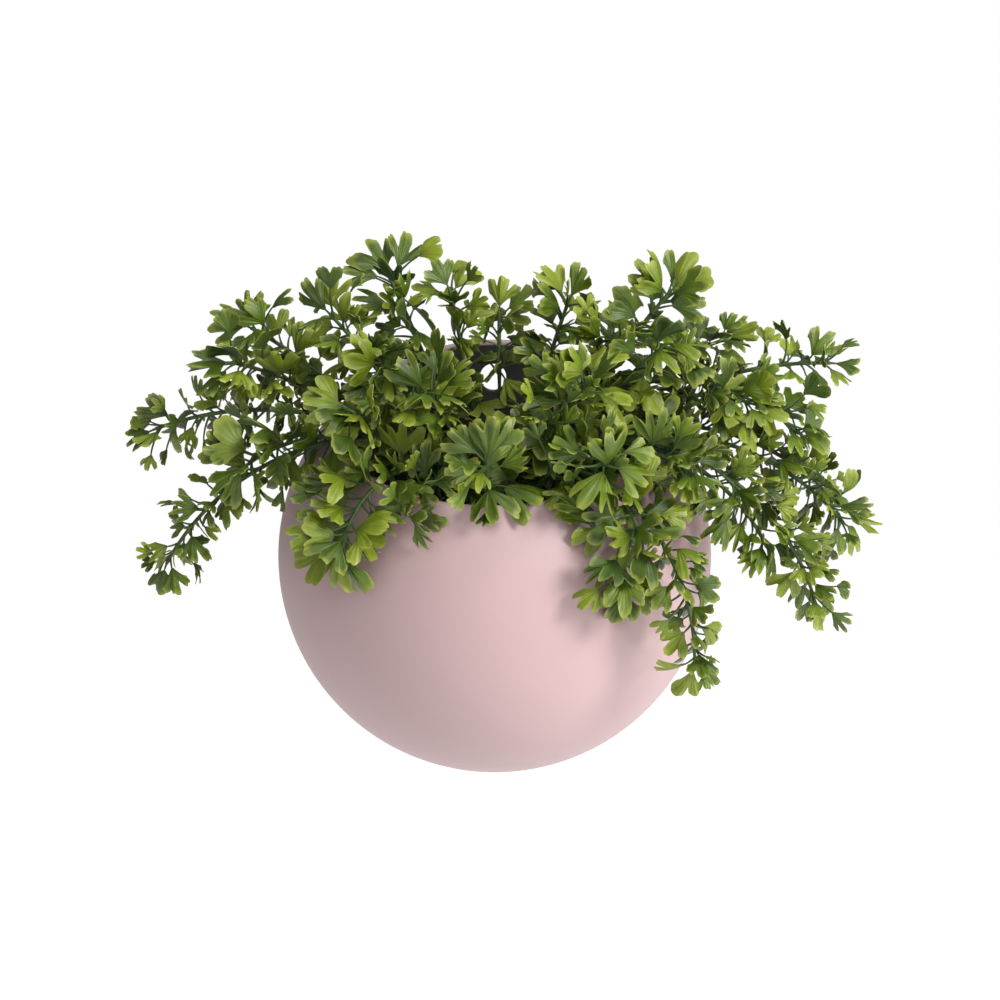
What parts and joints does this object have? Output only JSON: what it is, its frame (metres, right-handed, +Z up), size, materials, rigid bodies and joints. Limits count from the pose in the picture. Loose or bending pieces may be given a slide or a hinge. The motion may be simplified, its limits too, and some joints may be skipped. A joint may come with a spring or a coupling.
{
  "type": "wall planter",
  "caption": "Matt pink ceramic half-globe planter that hangs flat on a wall by a hole in its back plate, charcoal inside, with a removable bush of fan-leaved sprigs standing in foam.",
  "frame": {"origin": "where the axis of the hanging hole meets the wall, which is the plane y = 0", "axes": "+X across the planter, to the right as seen from the room; +Y into the wall, so the planter stands out towards -Y; +Z up"},
  "size_m": [0.3416, 0.1243, 0.2493],
  "materials": {
    "ceramic": "matt",
    "foam": "matt",
    "leaf_plastic": "satin"
  },
  "bodies": {
    "shell": {"ceramic_shell": "ceramic"},
    "plant": {"foam_block": "foam", "sprig_hanging_front_runner": "leaf_plastic", "sprig_front_left": "leaf_plastic", "sprig_hanging_fan": "leaf_plastic", "sprig_hanging_lower_fan": "leaf_plastic", "sprig_rim_leaf": "leaf_plastic", "sprig_rim_left_low": "leaf_plastic", "sprig_front_centre": "leaf_plastic", "sprig_front_right": "leaf_plastic", "sprig_low_front": "leaf_plastic", "sprig_right_hanging": "leaf_plastic", "sprig_hanging_right_runner": "leaf_plastic", "sprig_low_right_runner": "leaf_plastic", "sprig_thin_right_runner": "leaf_plastic", "sprig_low_left_runner": "leaf_plastic", "sprig_left_runner": "leaf_plastic", "sprig_top_left": "leaf_plastic", "sprig_top_left_middle": "leaf_plastic", "sprig_upper_left": "leaf_plastic", "sprig_far_upper_left": "leaf_plastic", "sprig_left_rosette": "leaf_plastic", "sprig_low_left_rosette": "leaf_plastic", "sprig_top_centre": "leaf_plastic", "sprig_top_right_centre": "leaf_plastic", "sprig_front_fan": "leaf_plastic", "sprig_front_blade": "leaf_plastic", "sprig_top_right": "leaf_plastic", "sprig_upper_right": "leaf_plastic", "sprig_upper_right_runner": "leaf_plastic", "sprig_right_shoulder": "leaf_plastic", "sprig_right_middle": "leaf_plastic", "sprig_far_right": "leaf_plastic", "sprig_right_front": "leaf_plastic", "sprig_right_front_low": "leaf_plastic", "sprig_left_inner": "leaf_plastic", "sprig_left_inner_front": "leaf_plastic", "sprig_left_broad": "leaf_plastic", "sprig_upper_middle_right": "leaf_plastic"}
  },
  "joints": [
    {"name": "plant_lift", "type": "slide", "parent": "shell", "child": "plant", "axis": [0, -0.4462, 0.8949], "range_m": [0, 0.18]}
  ]
}
